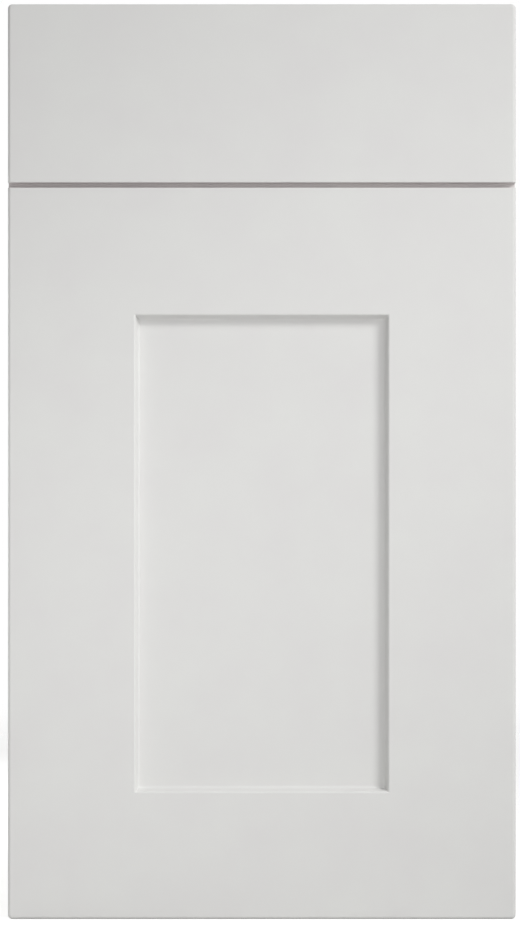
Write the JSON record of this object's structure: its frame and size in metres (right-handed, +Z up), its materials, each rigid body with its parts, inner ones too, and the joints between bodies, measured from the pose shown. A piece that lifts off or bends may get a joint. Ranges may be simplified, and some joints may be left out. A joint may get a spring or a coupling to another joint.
{
  "type": "kitchen cabinet door",
  "caption": "Light-grey kitchen cabinet door routed from a solid board: a plain upper band, a groove across like a drawer line, a sunk panel below, and hinge cups in the back.",
  "frame": {"origin": "middle of the bottom edge, half way through the thickness", "axes": "+X to the right across the front, +Y out of the back, +Z up; the front faces -Y"},
  "size_m": [0.397, 0.018, 0.715],
  "materials": {
    "wrapped_board": "fibreboard in a matt light-grey wrap, white on the back"
  },
  "bodies": {
    "root": {"cabinet_door": "wrapped_board"}
  },
  "joints": []
}
